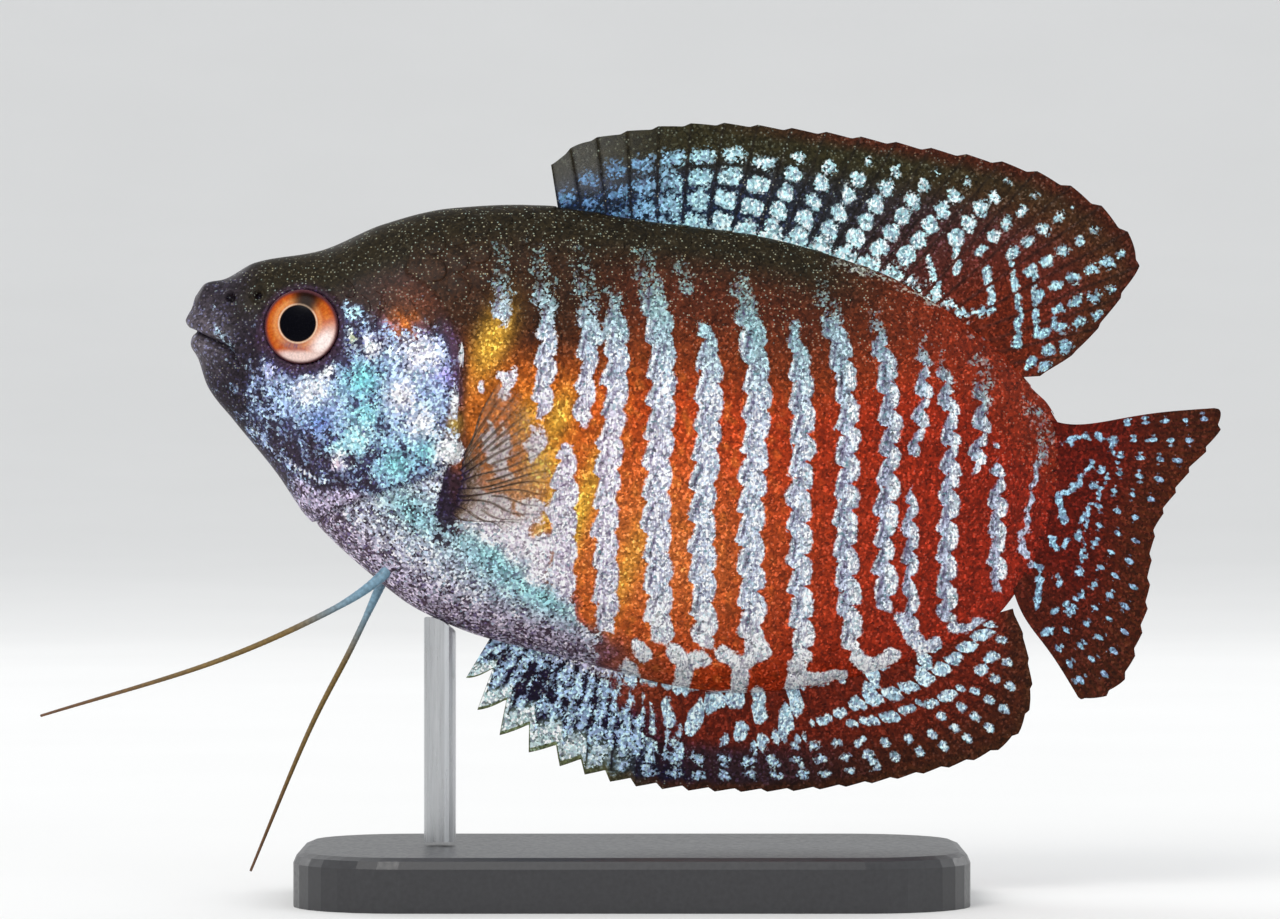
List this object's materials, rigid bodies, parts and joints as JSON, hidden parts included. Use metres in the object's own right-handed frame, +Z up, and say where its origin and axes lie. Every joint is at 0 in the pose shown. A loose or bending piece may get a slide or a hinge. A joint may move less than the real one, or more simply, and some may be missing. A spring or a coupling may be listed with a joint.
{
  "type": "dwarf gourami",
  "caption": "Life-size still model of a male dwarf gourami, head tipped up, held by a rod over a flat rounded display base.",
  "frame": {"origin": "middle of the base's flat underside", "axes": "+Z up, +X from the head to the tail along the base, with the fish's left side towards -Y"},
  "size_m": [0.0881, 0.03, 0.0582],
  "materials": {
    "head_skin": "moist purple-grey skin with silver-blue glitter on the cheek",
    "gill_cover": "silver-white and turquoise pearly scales",
    "body_skin": "orange-red scales with silver-turquoise upright stripes",
    "eye": "glossy orange iris round a black pupil",
    "spotted_fin": "satin red-brown membrane with pale blue spots",
    "clear_fin": "thin smoky membrane with fine dark rays",
    "feeler": "satin thread, silver-blue at the root and brown to the tip",
    "stand_black": "satin black",
    "stand_steel": "brushed"
  },
  "bodies": {
    "root": {"head": "head_skin", "lower_jaw": "head_skin", "gill_cover_left": "gill_cover", "gill_cover_right": "gill_cover", "eye_left": "eye", "eye_right": "eye", "torso": "body_skin", "tail": "body_skin", "dorsal_fin": "spotted_fin", "anal_fin": "spotted_fin", "caudal_fin": "spotted_fin", "pectoral_fin_left": "clear_fin", "pectoral_fin_right": "clear_fin", "pelvic_feeler_left": "feeler", "pelvic_feeler_right": "feeler", "stand_base": "stand_black", "stand_rod": "stand_steel"}
  },
  "joints": []
}
